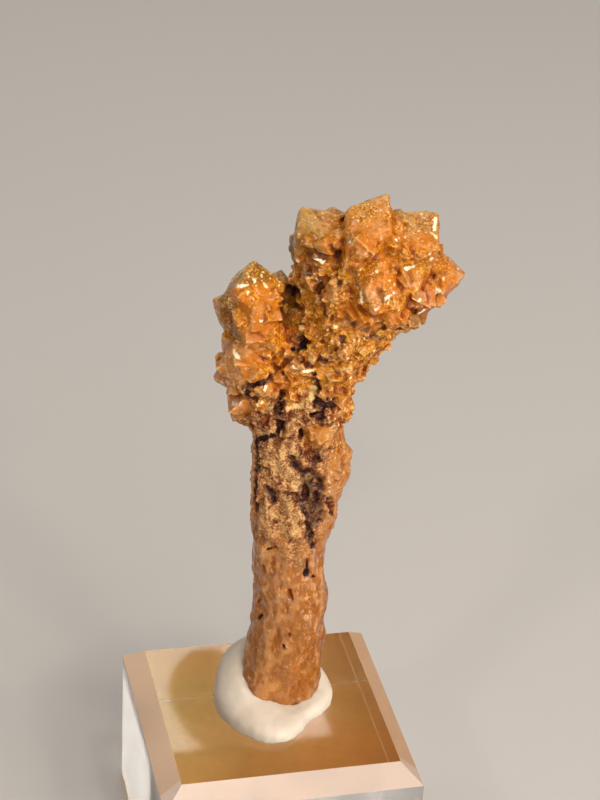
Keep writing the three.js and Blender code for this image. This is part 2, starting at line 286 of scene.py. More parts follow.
# The middling crystals between the large ones and the small, each a middle and a radius.
MIDDLING = [
    ((52, 18, 94), 1.8), ((69, 17, 88), 1.9), ((60, 8, 88), 1.3), ((79, 15, 84), 1.8),
    ((54, 15, 81.5), 2.4), ((48, 19, 82.5), 1.2), ((57, 6, 85), 1.3), ((64, 7, 86), 0.9),
    ((68, 8, 82), 1.6), ((77, 22, 79), 1.5), ((70, 27, 77), 1.3), ((56, 17, 78), 1.0),
    ((43, 22, 83), 0.9), ((45, 20, 81.5), 0.8), ((45, 50, 95), 1.2), ((52, 36, 95), 1.1),
    ((8, 42, 83), 1.3), ((23, 43, 82), 1.1), ((18, 35, 80), 1.9), ((8, 40, 78.5), 1.3),
    ((12, 37, 76), 1.5), ((20, 36, 76.5), 1.2), ((10, 42, 71), 2.1), ((8, 56, 64), 1.3),
    ((10, 51, 61.5), 1.7), ((20, 38, 72), 1.1), ((44, 25, 69), 1.2), ((50, 35, 63), 1.6),
    ((41, 30, 57.5), 1.8), ((41, 25, 74), 0.9), ((45, 20, 77), 1.1), ((52, 16, 77), 1.0),
    ((41, 21, 80), 0.8), ((18, 42, 63), 0.9), ((33, 34, 68), 1.2), ((29, 32, 65), 0.8),
    ((32, 36, 92.5), 1.1), ((38, 32, 92.5), 1.0), ((42, 32, 93), 1.2), ((69, 11, 93.5), 1.1),
    ((74, 11, 92.5), 0.8), ((77, 10, 93), 1.0), ((50, 18, 95), 1.2), ((64, 17, 94), 1.2),
    ((68, 25, 96), 0.9), ((86, 33, 88), 0.9), ((89, 20, 86), 0.9), ((35, 36, 86), 0.9),
    ((43, 25, 86.5), 0.9), ((39, 37, 83.5), 0.9), ((46, 18, 85), 0.9), ((66, 6, 85.5), 1.0),
    ((75, 21, 81), 1.1), ((65, 6, 82), 1.0), ((51, 16, 77.5), 0.9), ((54, 22, 73.5), 0.8),
    ((43, 23, 75.5), 0.8),
]
# Stains and painted light, each from where and to where, and its half-width. The near-black stains lie in
# hollows.
DARK_STAINS = [
    ((19, 50, 54.5), (19, 51, 47.5), 0.4), ((19, 51, 47.5), (20, 52, 40), 0.35),
    ((24, 40, 57), (20, 48, 55), 0.4), ((25, 33, 64), (27, 38, 58), 0.6),
    ((39, 34, 49), (39, 34, 44.5), 0.9), ((39, 34, 44.5), (41, 33, 40.5), 0.85),
    ((31, 36, 53), (35, 35, 50.5), 0.5), ((39, 34, 53.5), (42, 34, 52.5), 0.5),
    ((23, 43, 46), (25, 41, 44), 0.5), ((30, 37, 45.5), (36, 34, 45.5), 0.4),
    ((39, 29, 64.5), (46, 31, 63.5), 0.7), ((39, 32, 61.5), (42, 28, 61.5), 0.6),
    ((11, 37, 67), (12, 40, 64.5), 0.4), ((11, 37, 67), (17, 35, 67.5), 0.35),
    ((17, 35, 67.5), (21, 35, 68.5), 0.35), ((12, 40, 64.5), (16, 42, 63.5), 0.35),
    ((24, 38, 64.5), (27, 35, 65), 0.35), ((32, 35, 73.5), (36, 35, 74.5), 0.7),
    ((32, 35, 78.5), (34, 36, 74.5), 0.4), ((37, 26, 70), (40, 28, 66.5), 0.35),
    ((50, 36, 43), (52, 41, 40.5), 0.4), ((33, 34, 59), (34, 34, 57.5), 0.4),
    ((32, 65, 80.5), (32, 48, 81.5), 0.6), ((40, 33, 38.5), (42, 35, 35), 0.4),
    ((38, 34, 49.5), (43, 34, 41), 1.0), ((43, 34, 48), (44, 34, 40.5), 0.7),
    ((36, 34, 44.5), (42, 34, 36), 0.4), ((48, 35, 44), (51, 39, 41), 0.5),
]
# Painted shade: dark brown in the gaps between the heads' crystals.
GAP_SHADE = [
    ((27, 32, 72), (34, 28, 71.5), 0.45), ((34, 28, 71.5), (43, 21, 73), 0.45),
    ((11, 39, 66.5), (14, 43, 64), 0.45), ((12, 39, 67), (17, 36, 67.5), 0.4),
    ((17, 36, 67.5), (21, 37, 68), 0.35), ((31, 38, 75), (34, 33, 74), 0.5),
    ((38, 27, 69), (40, 30, 66.5), 0.4), ((38, 28, 72.5), (44, 23, 73), 0.35),
    ((35, 39, 87), (37, 35, 86), 0.5), ((38, 35, 85.5), (40, 35, 83.5), 0.5),
    ((37, 26, 83), (42, 23, 81), 0.5), ((34, 38, 90.5), (36, 34, 90), 0.5),
    ((39, 33, 90.5), (41, 32, 90), 0.4), ((43, 29, 92.5), (46, 36, 90), 0.55),
    ((58, 3, 87.5), (60, 4, 86), 0.4), ((46, 16, 84), (47, 14, 81.5), 0.3),
    ((47, 14, 81.5), (56, 15, 79), 0.35), ((56, 16, 78), (64, 21, 76.5), 0.4),
    ((49, 20, 89.5), (50, 12, 88), 0.4), ((46, 29, 88), (45, 20, 86.5), 0.35),
    ((45, 22, 77.5), (47, 13, 77), 0.35),
]
# Pale patches of the crust.
PALE_STAINS = [
    ((29, 31, 63.5), (35, 28, 63.5), 0.6), ((28, 34, 62), (32, 35, 60), 0.8),
    ((28, 37, 56), (28, 38, 52), 0.6), ((31, 35, 56.5), (33, 35, 53.5), 0.6),
    ((23, 42, 51.5), (28, 38, 50), 1.0), ((31, 36, 49.5), (33, 35, 47), 0.9),
    ((23, 43, 41), (26, 40, 38), 0.8), ((30, 37, 43.5), (35, 34, 42), 0.9),
    ((28, 38, 40), (33, 35, 38.5), 0.9), ((15, 37, 66), (15, 33, 66), 0.5),
    ((18, 41, 63), (21, 39, 62.5), 0.6), ((36, 32, 67), (38, 30, 66), 0.5),
]
# Olive patches of the heads.
OLIVE_STAINS = [
    ((30, 42, 94), (37, 40, 93), 1.2), ((10, 50, 86), (20, 50, 86.5), 1.3),
    ((29, 46, 96.5), (36, 46, 95.5), 1.1), ((31, 42, 92), (35, 35, 91), 1.6),
    ((2, 53, 80), (4, 52, 75.5), 2.0), ((32, 67, 91), (32, 67, 87), 1.6),
    ((75, 20, 81), (78, 20, 79), 1.4),
]
# Amber places low on the crystals.
GOLD_STAINS = [
    ((10, 42, 83), (18, 42, 82), 1.6), ((29, 37, 93.5), (30, 43, 90), 1.3),
    ((32, 36, 92), (37, 34, 91.5), 1.5), ((40, 31, 93), (42, 32, 91.5), 1.2),
    ((55, 26, 97), (63, 18, 96.5), 2.0), ((56, 18, 95.5), (65, 22, 94.5), 1.6),
    ((63, 19, 93.5), (67, 12, 92.5), 1.6), ((68, 11, 94), (77, 10, 93), 1.6),
    ((49, 18, 92.5), (53, 19, 91), 1.0), ((56, 11, 89), (62, 7, 88.5), 1.4),
    ((80, 23, 86), (87, 24, 86.5), 1.6), ((82, 21, 84.5), (86, 17, 85.5), 1.2),
    ((50, 18, 83), (56, 4, 83), 1.6), ((62, 5, 84), (68, 6, 82), 1.4),
    ((74, 22, 81), (77, 13, 82.5), 1.2), ((5, 47, 81.5), (5, 59, 76.5), 1.4),
    ((10, 38, 79.5), (16, 34, 78.5), 1.6), ((20, 35, 77.5), (27, 42, 75), 1.4),
    ((12, 34, 70), (17, 34, 71), 1.4), ((21, 34, 70), (27, 38, 67.5), 1.4),
    ((45, 34, 89.5), (46, 28, 91.5), 1.0), ((70, 75, 90), (80, 60, 86), 2.0),
    ((40, 80, 85), (50, 75, 90), 2.0), ((10, 80, 75), (20, 80, 70), 1.6),
]
# Painted highlights: glint lines along the edges of crystals.
PAINTED_EDGE_GLINTS = [
    ((5, 44, 73), (11, 36, 70.5), 0.36), ((15, 33, 79.5), (23, 39, 78.5), 0.28),
    ((8, 41, 77), (15, 38, 76), 0.28), ((6, 43, 84.5), (11, 44, 84.5), 0.28),
    ((14, 48, 85), (14, 47, 84.5), 0.3), ((84, 28, 96.5), (82, 20, 95.5), 0.24),
    ((80, 13, 94.5), (79, 10, 92.5), 0.28), ((64, 19, 93.5), (66, 16, 94.5), 0.4),
    ((69, 16, 89.5), (73, 14, 90), 0.4), ((83, 21, 84), (85, 17, 85), 0.45),
    ((76, 10, 84.5), (80, 17, 82), 0.36), ((51, 7, 87.5), (53, 10, 84.5), 0.3),
    ((60, 4, 86), (65, 7, 86.5), 0.3), ((80, 12, 91.5), (83, 20, 90), 0.3),
    ((36, 32, 90), (39, 31, 89.5), 0.3), ((56, 13, 89.5), (58, 11, 90), 0.3),
    ((48, 18, 94.5), (49, 18, 92.5), 0.3), ((35, 45, 95), (36, 42, 94.5), 0.2),
    ((56, 1, 84.5), (59, 3, 85), 0.3), ((76, 20, 80.5), (80, 17, 81.5), 0.28),
    ((33, 27, 70.5), (37, 27, 70.5), 0.3), ((29, 28, 71.5), (30, 26, 71), 0.25),
    ((18, 34, 66.5), (19, 35, 67), 0.25),
]
# A cream vein across the top of the stalk.
CREAM_STREAKS = [
    ((28, 29, 63.5), (33, 30, 63.5), 0.4), ((33, 30, 63.5), (37, 29, 65), 0.4),
    ((37, 29, 65), (38, 30, 66.5), 0.45),
]
# The pits and cracks of the stalk.
PITS = [
    ((40, 35, 30), (40, 35, 29.2), 0.42), ((40, 33, 32.5), (40, 35, 30), 0.2),
    ((34, 35, 24.5), (33, 35, 26), 0.22), ((23, 51, 18), (24, 49, 19), 0.26),
    ((23, 47, 29.5), (23, 47, 28.5), 0.22), ((26, 40, 32), (26, 41, 31), 0.2),
    ((22, 55, 20.5), (23, 50, 22.5), 0.18), ((24, 44, 33.5), (27, 40, 34.5), 0.16),
    ((32, 36, 14.5), (32, 35, 14), 0.18), ((43, 36, 28.5), (46, 41, 27.5), 0.16),
    ((34, 35, 17), (34, 35, 16.5), 0.15), ((45, 90, 25), (45, 90, 25), 0.45),
    ((30, 85, 40), (30, 85, 37), 0.4), ((55, 70, 30), (55, 70, 30), 0.4),
]
MARKS = {
    "dark": DARK_STAINS, "gap": GAP_SHADE, "pale": PALE_STAINS, "olive": OLIVE_STAINS,
    "gold": GOLD_STAINS, "bright": PAINTED_EDGE_GLINTS, "cream": CREAM_STREAKS, "pit": PITS,
}


# -------------------------------- measures of a place

def unit(vectors):
    return vectors / np.maximum(np.linalg.norm(vectors, axis=-1, keepdims=True), 1e-9)


def smooth_step(low, high, value):
    t = np.clip((value - low) / (high - low), 0, 1)
    return t * t * (3 - 2 * t)


def height_share(points):
    low, high = CALCITE
    return (points[:, 2] - low[2]) / (high[2] - low[2])


def nearest_on_lines(points):
    """For each point, the nearest place on the stalk's and branches' lines, and how far it is."""
    best = np.full(len(points), np.inf)
    found = np.zeros_like(points)
    for line in LINES:
        for start, end in zip(line, line[1:]):
            along = end - start
            share = np.clip((points - start) @ along / (along @ along), 0, 1)
            place = start + share[:, None] * along
            away = np.linalg.norm(points - place, axis=1)
            closer = away < best
            best[closer] = away[closer]
            found[closer] = place[closer]
    return found, best


def noise(points, width, seed, stretch=1.0):
    """A smooth noise from -1 to 1, in lumps width mm wide and stretch times as tall."""
    size = 24
    lattice = np.random.default_rng(seed).random((size, size, size)) * 2 - 1
    places = points / (width, width, width * stretch)
    cell = np.floor(places).astype(int)
    t = places - cell
    t = t * t * (3 - 2 * t)
    total = np.zeros(len(points))
    for corner in itertools.product((0, 1), repeat=3):
        i, j, k = ((cell + corner) % size).T
        total += np.prod(np.where(corner, t, 1 - t), axis=1) * lattice[i, j, k]
    return total


def near_middling(points, least=0.0):
    """1 on the middling crystals whose radius is at least this many mm, and 0 off them."""
    found = np.zeros(len(points))
    for place, radius in (crystal for crystal in MIDDLING if crystal[1] >= least):
        away = np.linalg.norm(points - in_calcite(*place), axis=1)
        found = np.maximum(found, 1 - smooth_step(0.85 * radius, 1.15 * radius, away))
    return found


def in_druse_places(points):
    """Whether each point lies where the heads carry only small crystals."""
    return np.any([
        np.linalg.norm(points - in_calcite(*middle), axis=1) < radius for middle, radius in DRUSE_PLACES
    ], axis=0)


def away_from(points, start, end):
    """How far, in mm, each point is from the line between two places in the calcite's box."""
    start = in_calcite(*start)
    along = in_calcite(*end) - start
    share = np.clip((points - start) @ along / max(along @ along, 1e-9), 0, 1)
    return np.linalg.norm(points - start - share[:, None] * along, axis=1)


def marked(points, stains):
    """1 on the middle lines of the marks, stains and painted light alike, and 0 from one and a half times
    their half-width.
    """
    return np.max([
        np.maximum(1 - away_from(points, start, end) / (1.5 * width), 0) for start, end, width in stains
    ], axis=0)


def pitted(points):
    """How deep, in mm, the stalk's pits and cracks are."""
    return np.max([
        1.8 * width * np.exp(-((away_from(points, start, end) / width) ** 2)) for start, end, width in PITS
    ], axis=0)


def around_stalk(points):
    """How far round the stalk's line each point is, in degrees, with 0 at the front and 90 on the
    right."""
    out = points - nearest_on_lines(points)[0]
    return np.degrees(np.arctan2(out[:, 0], -out[:, 1]))


def crusted(points):
    """1 on the front and left of the upper stalk, where a rough crust covers it, and 0 off it."""
    up = height_share(points)
    angle = around_stalk(points) + 12 * noise(points, 2.5, 5)
    band = smooth_step(0.28, 0.42, up + 0.05 * noise(points, 1.2, 13, 2.0))
    band *= 1 - smooth_step(0.63, 0.68, up)
    band *= smooth_step(-100, -80, angle) * (1 - smooth_step(18, 40, angle))
    return band * (1 - near_middling(points))


def lumps(points):
    """The swellings and the crust of the stalk, the softer swellings of the heads, and the hollows
    of the near-black stains."""
    stalk = 1 - smooth_step(FORK - 0.02, FORK + 0.1, height_share(points))
    broad = 0.22 * noise(points, 3.4, 1, 1.6) + 0.26 * noise(points, 1.5, 2, 2.2)
    broad += 0.22 * noise(points, 0.8, 12, 1.8)
    heads = 0.1 * noise(points, 2.6, 3) + 0.05 * noise(points, 1.0, 4)
    crust = 0.35 - 0.9 * np.abs(noise(points, 1.1, 6, 1.2)) + 0.2 * noise(points, 0.6, 7)
    total = stalk * (broad + 0.2) + (1 - stalk) * heads + crusted(points) * crust
    return total - 0.45 * smooth_step(0.1, 0.8, marked(points, DARK_STAINS))


# -------------------------------- mesh helpers

def arrays_of(mesh):
    """A mesh's vertex places in millimetres and its triangles."""
    mesh.calc_loop_triangles()
    places = np.empty(len(mesh.vertices) * 3)
    mesh.vertices.foreach_get("co", places)
    triangles = np.empty(len(mesh.loop_triangles) * 3, int)
    mesh.loop_triangles.foreach_get("vertices", triangles)
    return places.reshape(-1, 3) / MM, triangles.reshape(-1, 3)


def object_from(name, places, faces):
    """A new object, from places in millimetres and lists of their numbers."""
    mesh = bpy.data.meshes.new(name)
    mesh.from_pydata((places * MM).tolist(), [], faces)
    mesh.update()
    thing = bpy.data.objects.new(name, mesh)
    scene.collection.objects.link(thing)
    return thing


def applied(thing):
    """The object's mesh with its modifiers, in place of the one that it had."""
    done = bpy.data.meshes.new_from_object(
        thing.evaluated_get(bpy.context.evaluated_depsgraph_get())
    )
    thing.modifiers.clear()
    thing.data = done
    return done


def remesh(thing, voxel):
    """One skin round everything in the mesh, made of faces about voxel mm wide."""
    modifier = thing.modifiers.new("voxels", "REMESH")
    modifier.mode = "VOXEL"
    modifier.voxel_size = voxel * MM
    return applied(thing)


def soften(thing, rounds, group=""):
    """Adds a modifier that moves each vertex, or those in a group, halfway to its neighbours' middle,
    and does so this many times."""
    modifier = thing.modifiers.new("soften", "SMOOTH")
    modifier.factor = 0.5
    modifier.iterations = rounds
    modifier.vertex_group = group


def push(thing, amount):
    """Applies the modifiers, and moves each vertex along its normal by amount(points) mm."""
    mesh = applied(thing)
    points = np.empty(len(mesh.vertices) * 3)
    normals = np.empty_like(points)
    mesh.vertices.foreach_get("co", points)
    mesh.vertex_normals.foreach_get("vector", normals)
    points, normals = points.reshape(-1, 3) / MM, normals.reshape(-1, 3)
    points += normals * amount(points)[:, None]
    mesh.vertices.foreach_set("co", (points * MM).ravel())
    mesh.update()


def thin_out(thing, triangles):
    """Lowers the mesh to this many triangles, and fewest where it is flattest."""
    thing.data.calc_loop_triangles()
    modifier = thing.modifiers.new("fewer", "DECIMATE")
    modifier.ratio = triangles / len(thing.data.loop_triangles)
    modifier.use_collapse_triangulate = True
    return applied(thing)


def drop_strays(mesh):
    """Keeps the skin that the first vertex belongs to, and drops the few faces that are off it."""
    shape = bmesh.new()
    shape.from_mesh(mesh)
    shape.verts.ensure_lookup_table()
    skin, edge = {shape.verts[0]}, [shape.verts[0]]
    while edge:
        vertex = edge.pop()
        for link in vertex.link_edges:
            other = link.other_vert(vertex)
            if other not in skin:
                skin.add(other)
                edge.append(other)
    strays = [vertex for vertex in shape.verts if vertex not in skin]
    bmesh.ops.delete(shape, geom=strays, context="VERTS")
    shape.to_mesh(mesh)
    shape.free()


def tree_of(mesh):
    """A tree that finds the mesh's nearest faces and what a ray hits."""
    return BVHTree.FromPolygons(
        [vertex.co[:] for vertex in mesh.vertices], [face.vertices[:] for face in mesh.polygons]
    )


def openness(mesh, reach, rays):
    """For each vertex, the share of directions that are free for reach mm: about 0.87 where it is flat,
    1 on an edge or a tip, and near 0 down a crevice."""
    tree = tree_of(mesh)
    spread = [Vector(v) for v in unit(np.random.default_rng(3).normal(size=(rays, 3)))]
    free = np.zeros(len(mesh.vertices))
    for i, vertex in enumerate(mesh.vertices):
        normal = vertex.normal
        start = vertex.co + normal * 0.03 * MM
        lift = normal * 0.75
        for ray in spread:
            if tree.ray_cast(start, ray + lift, reach * MM)[0] is None:
                free[i] += 1
    return free / rays


# -------------------------------- the calcite's crystals

# A rhombohedron of radius 1 and half-length 1 about its centre, and its six faces.
RHOMB_CORNERS = np.array(
    [(0, 0, 1), (0, 0, -1)]
    + [(math.cos(k * math.pi / 3), math.sin(k * math.pi / 3), (-1) ** k / 3) for k in range(6)]
)
RHOMB_FACES = np.array([
    (0, 2, 3, 4), (0, 4, 5, 6), (0, 6, 7, 2), (1, 3, 2, 7), (1, 5, 4, 3), (1, 7, 6, 5),
])
# How far round its axis from the first corner a rhombohedron's first face looks.
FIRST_FACE = math.pi / 3
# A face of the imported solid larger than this, in mm2, is a large crystal's, and stays bare. Triangles
# that meet at less than this angle are parts of one face.
LARGE_FACE = 2.2
FLAT_ANGLE = math.radians(15)
# How much longer than wide the stepped crystals are, and how far their faces tilt from their axes.
SLENDER = 1.1
FACE_TILT = math.atan(4 * SLENDER / 3)
# How many places each kind of small crystal is tried in.
STEP_TRIES = 14000
HEAD_TRIES = 14000
STALK_TRIES = 10000
# The share of the calcite's height from which the stalk carries small crystals.
DRUSE_START = 0.36
# How many smaller crystals are grown into each middling one.
INGROWN = 5


def rhombs(centres, axes, sides, radii, slenderness, uneven=0.0):
    """The corners and faces of many rhombohedra. sides are directions that the faces beside each tip
    turn to, and uneven is how far the corners stray, as a share of the radius."""
    z = unit(axes)
    x = unit(sides - (sides * z).sum(1, keepdims=True) * z)
    y = np.cross(z, x)
    cos, sin = math.cos(-FIRST_FACE), math.sin(-FIRST_FACE)
    x, y = cos * x + sin * y, cos * y - sin * x
    corners = (
        RHOMB_CORNERS[None, :, 0, None] * x[:, None]
        + RHOMB_CORNERS[None, :, 1, None] * y[:, None]
        + RHOMB_CORNERS[None, :, 2, None] * (z * slenderness[:, None])[:, None]
    )
    corners += uneven * np.random.default_rng(4).normal(size=corners.shape)
    corners = corners * radii[:, None, None] + centres[:, None]
    faces = RHOMB_FACES[None] + 8 * np.arange(len(centres))[:, None, None]
    return corners.reshape(-1, 3), faces.reshape(-1, 4)


def scatter(places, triangles, count, random):
    """Points spread evenly by area over the triangles, and the surface normals there."""
    a, b, c = (places[triangles[:, i]] for i in range(3))
    cross = np.cross(b - a, c - a)
    area = np.linalg.norm(cross, axis=1)
    picked = random.choice(len(triangles), count, p=area / area.sum())
    u, v = random.random(count), random.random(count)
    over = u + v > 1
    u[over], v[over] = 1 - u[over], 1 - v[over]
    points = a[picked] + u[:, None] * (b - a)[picked] + v[:, None] * (c - a)[picked]
    return points, unit(cross[picked])


def spaced(points, gaps):
    """The indices of points that keep their gap to those kept before them."""
    size = float(gaps.max())
    around = list(itertools.product((-1, 0, 1), repeat=3))
    kept = []
    cells = {}
    for i, (x, y, z) in enumerate(np.floor(points / size).astype(int)):
        near = [j for dx, dy, dz in around for j in cells.get((x + dx, y + dy, z + dz), ())]
        if not near or ((points[near] - points[i]) ** 2).sum(1).min() > gaps[i] ** 2:
            kept.append(i)
            cells.setdefault((x, y, z), []).append(i)
    return np.array(kept)


def face_sizes(places, triangles):
    """A function that gives the area, in mm2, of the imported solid's face that lies nearest a point."""
    mesh = bmesh.new()
    corners = [mesh.verts.new(place) for place in places]
    for triangle in triangles:
        mesh.faces.new([corners[i] for i in triangle])
    bmesh.ops.remove_doubles(mesh, verts=mesh.verts, dist=0.001)
    bmesh.ops.dissolve_limit(mesh, angle_limit=FLAT_ANGLE, verts=mesh.verts, edges=mesh.edges)
    mesh.faces.ensure_lookup_table()
    areas = [face.calc_area() for face in mesh.faces]
    tree = BVHTree.FromBMesh(mesh)
    mesh.free()
    return lambda points: np.array([areas[tree.find_nearest(p)[2]] for p in points])


def stepped_growth(places, triangles, face_size, random):
    """Small crystals that lie parallel on the large crystals' faces and stand a little proud of them,
    fewer near the tips."""
    points, normals = scatter(places, triangles, STEP_TRIES, random)
    near, away = nearest_on_lines(points)
    growth = unit(points - near)
    radii = 0.22 + 0.7 * random.random(len(points)) ** 3
    tip = smooth_step(5.0, 8.5, away)
    wanted = (height_share(points) > FORK + 0.02) & (random.random(len(points)) > 0.6 + 0.38 * tip)
    wanted &= (face_size(points) > LARGE_FACE) & ~in_druse_places(points)
    wanted &= near_middling(points) < 0.5
    points, normals, growth, radii = (v[wanted] for v in (points, normals, growth, radii))
    kept = spaced(points, 0.85 * radii)
    points, normals, growth, radii = (v[kept] for v in (points, normals, growth, radii))
    leaning = growth - (growth * normals).sum(1, keepdims=True) * normals
    axes = math.cos(FACE_TILT) * normals + math.sin(FACE_TILT) * unit(leaning)
    axes = unit(axes + 0.07 * random.normal(size=axes.shape))
    proud = 0.01 + 0.08 * random.random(len(points))
    face_depth = SLENDER * radii * math.cos(FACE_TILT)
    centres = points + normals * (proud - face_depth)[:, None]
    return rhombs(centres, axes, normals, radii, np.full(len(points), SLENDER))


def middling_crystals(random):
    """The middling crystals, sunk a little, each with smaller ones grown into it at a slant."""
    count = len(MIDDLING)
    middles = np.array([in_calcite(*place) for place, _ in MIDDLING])
    radii = np.array([radius for _, radius in MIDDLING])
    axes = unit(unit(middles - nearest_on_lines(middles)[0]) + 0.22 * random.normal(size=middles.shape))
    sides = random.normal(size=middles.shape)
    middles -= 0.6 * radii[:, None] * axes
    crystals = [(middles, axes, sides, radii)]
    for _ in range(INGROWN):
        shift = unit(random.normal(size=middles.shape) + 0.8 * axes)
        size = radii * (0.35 + 0.35 * random.random(count))
        place = middles + shift * (0.9 * radii - 0.6 * size)[:, None]
        turned = random.normal(size=axes.shape)
        crystals.append((place, axes + 0.24 * turned, sides + 0.3 * turned[::-1], size))
    middles, axes, sides, radii = (np.concatenate(values) for values in zip(*crystals))
    slender = 1.25 + 0.35 * random.random(len(radii))
    return rhombs(middles, axes, sides, radii, slender, 0.1)


def druse(places, triangles, random, count, wanted, small, large, proud):
    """Crystals from small to large mm in radius that stand outward, each its own way, where
    wanted(points) says. proud is how far out their centres lie, as a share of their radius."""
    points, normals = scatter(places, triangles, count, random)
    near = nearest_on_lines(points)[0]
    chosen = wanted(points)
    points, normals, near = (v[chosen] for v in (points, normals, near))
    radii = small + (large - small) * random.random(len(points)) ** 2
    kept = spaced(points, radii)
    points, normals, near, radii = (v[kept] for v in (points, normals, near, radii))
    outward = unit(0.6 * normals + unit(points - near))
    axes = outward + 0.8 * random.normal(size=points.shape)
    sides = random.normal(size=points.shape)
    slender = 0.75 + 0.4 * random.random(len(points))
    return rhombs(points + proud * radii[:, None] * outward, axes, sides, radii, slender, 0.1)


# -------------------------------- the calcite, grown together

# The voxels, in mm, of the solid before the crystals grow on it and of the finished skin.
BASE_VOXEL = 0.28
SKIN_VOXEL = 0.13
# How often the whole base is smoothed, how often the stalk's part of it once more, and the skin.
BASE_ROUNDS, STALK_ROUNDS, SKIN_ROUNDS = 12, 60, 1
# How far, in mm, the base is sunk where small crystals will stand.
DRUSE_DEPTH = 0.14
CALCITE_TRIANGLES = 190000
SHARP_EDGE = math.radians(38)
# How much shorter, in mm, the left branch's crystals reach out than the right's, and from where to
# where, as shares of the calcite's width, the left branch gives way to the right.
LEFT_SHORTER = 2.0
LEFT_END, RIGHT_START = 0.25, 0.38
# How far, in mm, and along how many rays each vertex looks out for what is near and what is far.
NEAR_LOOK = (0.6, 24)
FAR_LOOK = (3.0, 16)
# The reach, in mm, from which faces begin to be bare and at which they are, and the radius that makes
# a middling crystal bare.
BARE_REACH = (6.0, 8.0)
BARE_RADIUS = 1.5


def rounded(places, triangles, small_crystals):
    """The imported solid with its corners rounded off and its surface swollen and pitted, and sunk where
    small crystals will stand."""
    base = object_from("base", places, triangles.tolist())
    remesh(base, BASE_VOXEL)
    stalk = base.vertex_groups.new(name="stalk")
    heights = height_share(arrays_of(base.data)[0])
    stalk.add([int(i) for i in np.flatnonzero(heights < FORK - 0.01)], 1.0, "REPLACE")
    soften(base, BASE_ROUNDS)
    soften(base, STALK_ROUNDS, "stalk")
    push(base, lambda points: lumps(points) - DRUSE_DEPTH * small_crystals(points))
    found = arrays_of(base.data)
    bpy.data.objects.remove(base)
    return found


def keep_measures(mesh):
    """Stores with each vertex what the calcite's material goes by."""
    points = arrays_of(mesh)[0]
    low, high = CALCITE
    across = (points[:, 0] - low[0]) / (high[0] - low[0])
    shorter = LEFT_SHORTER * (1 - smooth_step(LEFT_END, RIGHT_START, across))
    reach = nearest_on_lines(points)[1] + shorter
    measures = {
        "near_open": openness(mesh, *NEAR_LOOK), "far_open": openness(mesh, *FAR_LOOK), "reach": reach,
        "bare": np.maximum(smooth_step(*BARE_REACH, reach), near_middling(points, BARE_RADIUS)),
        "crust": crusted(points),
    }
    measures |= {name: marked(points, stains) for name, stains in MARKS.items()}
    for name, values in measures.items():
        layer = mesh.attributes.new(name, "FLOAT", "POINT")
        layer.data.foreach_set("value", values.astype(np.float32))


def grown_calcite():
    """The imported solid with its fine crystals, grown together in one skin."""
    random = np.random.default_rng(20)
    places, triangles = arrays_of(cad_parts["calcite"].data)
    face_size = face_sizes(places, triangles)

    def in_heads(points):
        small = (face_size(points) < LARGE_FACE) | in_druse_places(points)
        return (height_share(points) > FORK) & small & (near_middling(points) < 0.5)

    def on_stalk(points):
        up = height_share(points)
        return (up > DRUSE_START) & (up < FORK + 0.01) & (crusted(points) < 0.4)

    places, triangles = rounded(places, triangles, in_heads)
    groups = [
        stepped_growth(places, triangles, face_size, random),
        druse(places, triangles, random, HEAD_TRIES, in_heads, small=0.3, large=0.85, proud=0.15),
        druse(places, triangles, random, STALK_TRIES, on_stalk, small=0.18, large=0.36, proud=-0.1),
        middling_crystals(random),
    ]
    corners, faces = [places], triangles.tolist()
    for group_corners, group_faces in groups:
        faces += (group_faces + sum(map(len, corners))).tolist()
        corners.append(group_corners)
    calcite = object_from("calcite_crystals", np.concatenate(corners), faces)
    remesh(calcite, SKIN_VOXEL)
    soften(calcite, SKIN_ROUNDS)
    push(calcite, lambda points: 0.035 * noise(points, 0.45, 8) - pitted(points))
    mesh = thin_out(calcite, CALCITE_TRIANGLES)
    drop_strays(mesh)
    mesh.set_sharp_from_angle(angle=SHARP_EDGE)
    keep_measures(mesh)
    return calcite


# -------------------------------- the calcite's look

# The width, in mm, of the facets that glint.
GLINT_WIDTH = 0.55
# Painted glints: how many cells a metre holds, how wide a spot is as a share of its cell, and the
# share of cells that have none.
GLINT_SPOTS = ((1700, 0.26, 0.6), (1000, 0.22, 0.5), (400, 0.13, 0.5))


class CalciteNodes(Nodes):
    """The calcite's nodes, with the measures and the noises that its layers share."""

    def __init__(self):
        super().__init__("calcite")
        low, high = CALCITE
        self.up = self.ramp(self.axis("Z", self.at), low[2] * MM, high[2] * MM)
        self.facing = self.axis("Z", self.normal())
        self.near, self.far, self.reach, self.crust, self.bare = (
            self.attribute(name) for name in ("near_open", "far_open", "reach", "crust", "bare")
        )
        self.cloud = self.noise(self.at, 420, 3, 0.6)
        self.grain = self.noise(self.at, 2600, 3, 0.7)
        self.ragged = self.math("SUBTRACT", self.noise(self.at, 1700, 4, 0.75), 0.5)
        self.upright = self.stretched(0.5)
        self.fleck = self.noise(self.upright, 1000, 3, 0.6)
        self.sparkle = self.noise(self.at, 4000, 2, 0.75)
        self.rough_skin = self.ramp(self.up, FORK - 0.2, FORK, 0.3, 1)

    def stretched(self, share):
        """The place with its height shrunk to this share, which makes a noise there taller."""
        return self.vector("MULTIPLY", self.at, b=(1, 1, share))

    def marking(self, name, raggedness, low, high):
        """1 in the marks of this name, stains and painted light alike, with torn edges, and 0 off them."""
        inside = self.attribute(name)
        torn = self.plus(inside, self.times(self.ragged, raggedness))
        return self.times(self.ramp(torn, low, high), self.ramp(inside, 0, 0.1))

    def tilted_facets(self, width, tilt, normal=None):
        """The surface normal, tipped a random way in each cell width mm wide."""
        tip = self.vector("SUBTRACT", self.cells(self.at, 1 / (width * MM)), b=(0.5, 0.5, 0.5))
        tip = self.vector("SCALE", tip, scale=tilt)
        return self.vector("NORMALIZE", self.vector("ADD", normal or self.normal(), b=tip))


